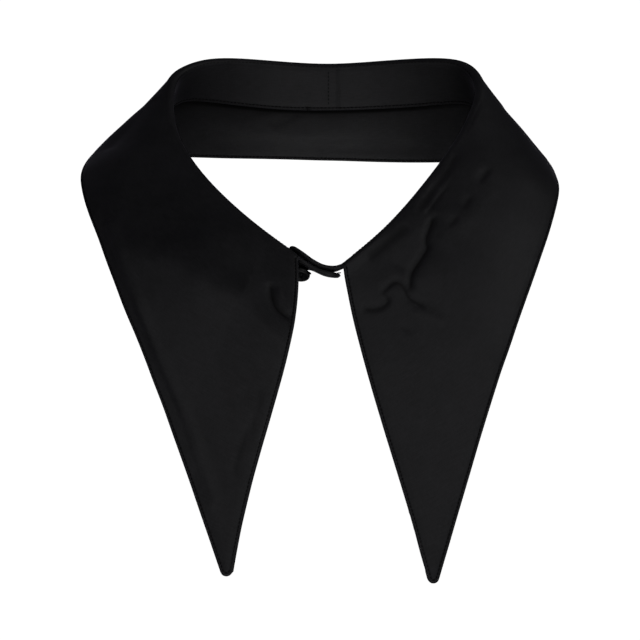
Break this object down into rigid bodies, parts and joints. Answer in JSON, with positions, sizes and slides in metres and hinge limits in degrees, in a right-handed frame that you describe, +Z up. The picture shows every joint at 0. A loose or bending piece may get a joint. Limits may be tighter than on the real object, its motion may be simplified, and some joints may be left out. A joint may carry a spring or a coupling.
{
  "type": "detachable shirt collar",
  "caption": "Black detachable shirt collar with long pointed leaves on a folded stand, buttoned at the front and filled out as it is worn.",
  "frame": {"origin": "middle of the neck ring, where the neck holds the collar", "axes": "+Z up, the front of the collar towards -Y, the viewer's left at -X as the front is seen"},
  "size_m": [0.2146, 0.1775, 0.2126],
  "materials": {
    "upper_collar_cloth": "black cotton sateen with a faint sheen",
    "under_collar_cloth": "black cotton sateen with a faint sheen",
    "stand_outer_cloth": "black cotton sateen with a faint sheen",
    "stand_inner_left_cloth": "black cotton sateen with a faint sheen",
    "stand_inner_right_cloth": "black cotton sateen with a faint sheen",
    "button_plastic": "black, half gloss"
  },
  "bodies": {
    "root": {"upper_collar": "upper_collar_cloth", "under_collar": "under_collar_cloth", "stand_outer": "stand_outer_cloth", "stand_inner_left": "stand_inner_left_cloth", "stand_inner_right": "stand_inner_right_cloth", "button": "button_plastic"}
  },
  "joints": []
}
